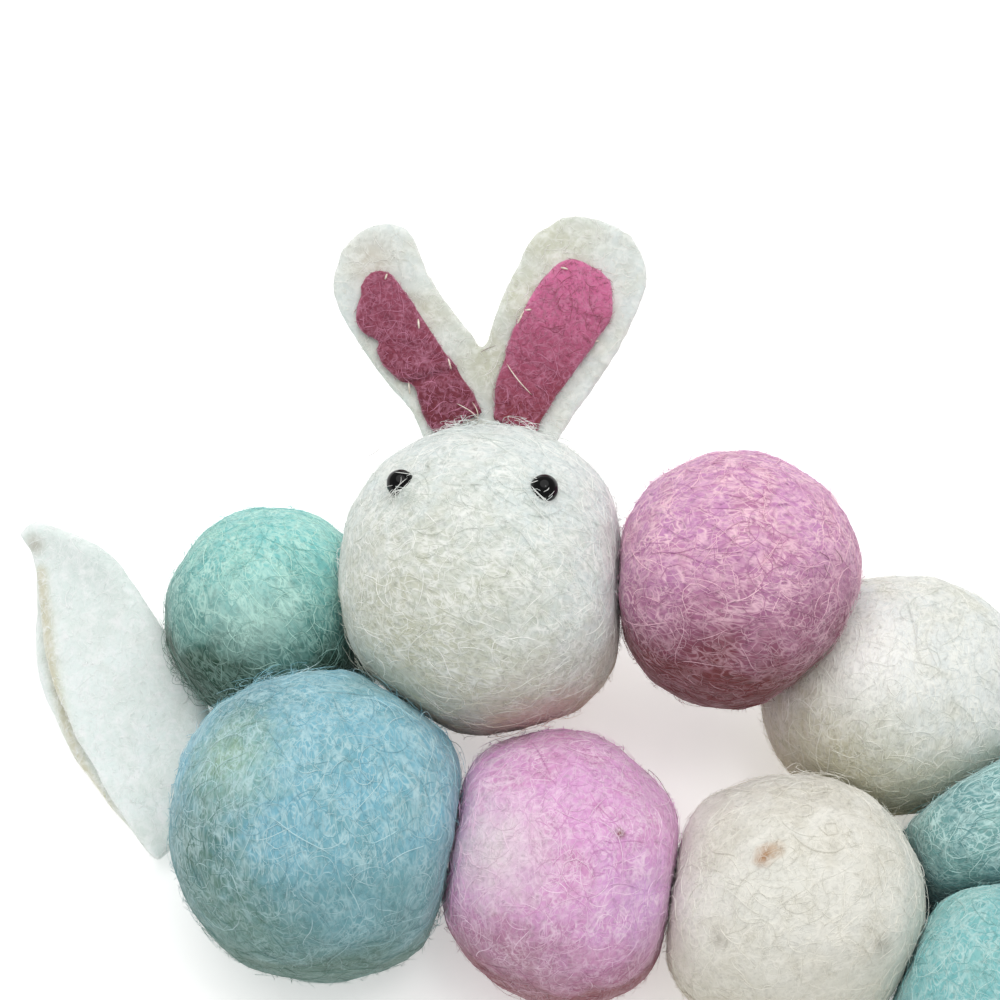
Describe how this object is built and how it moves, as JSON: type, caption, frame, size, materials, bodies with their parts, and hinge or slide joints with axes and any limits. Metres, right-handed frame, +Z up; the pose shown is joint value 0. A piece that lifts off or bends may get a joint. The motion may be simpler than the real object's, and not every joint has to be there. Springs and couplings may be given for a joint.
{
  "type": "felt ball garland with a rabbit head",
  "caption": "Bunched easter garland of wool felt balls, with a rabbit head on its felt ears and a folded white felt leaf.",
  "frame": {"origin": "on the table, under the middle of the bunch's outline", "axes": "+X along the rows of balls, from the leaf to the turquoise balls; +Y towards the tips of the ears; +Z up"},
  "size_m": [0.152, 0.1196, 0.0505],
  "materials": {
    "wool_white": "needle-felted wool, fuzzy",
    "wool_cream": "needle-felted wool, fuzzy",
    "wool_teal": "needle-felted wool, fuzzy",
    "wool_turquoise": "needle-felted wool, fuzzy",
    "wool_blue": "needle-felted wool, fuzzy",
    "wool_orchid": "needle-felted wool, fuzzy",
    "wool_pink": "needle-felted wool, fuzzy",
    "felt_white": "pressed wool felt, soft",
    "felt_pink": "pressed wool felt, soft",
    "bead_black": "glossy round bead"
  },
  "bodies": {
    "root": {"rabbit_head": "wool_white", "ears": "felt_white", "inner_ear_left": "felt_pink", "inner_ear_right": "felt_pink", "eye_left": "bead_black", "eye_right": "bead_black", "teal_ball_left": "wool_teal", "blue_ball": "wool_blue", "pink_ball_lower": "wool_pink", "cream_ball": "wool_cream", "pink_ball_upper": "wool_orchid", "white_ball": "wool_white", "teal_ball_right": "wool_turquoise", "teal_ball_end": "wool_turquoise", "folded_leaf": "felt_white"}
  },
  "joints": []
}
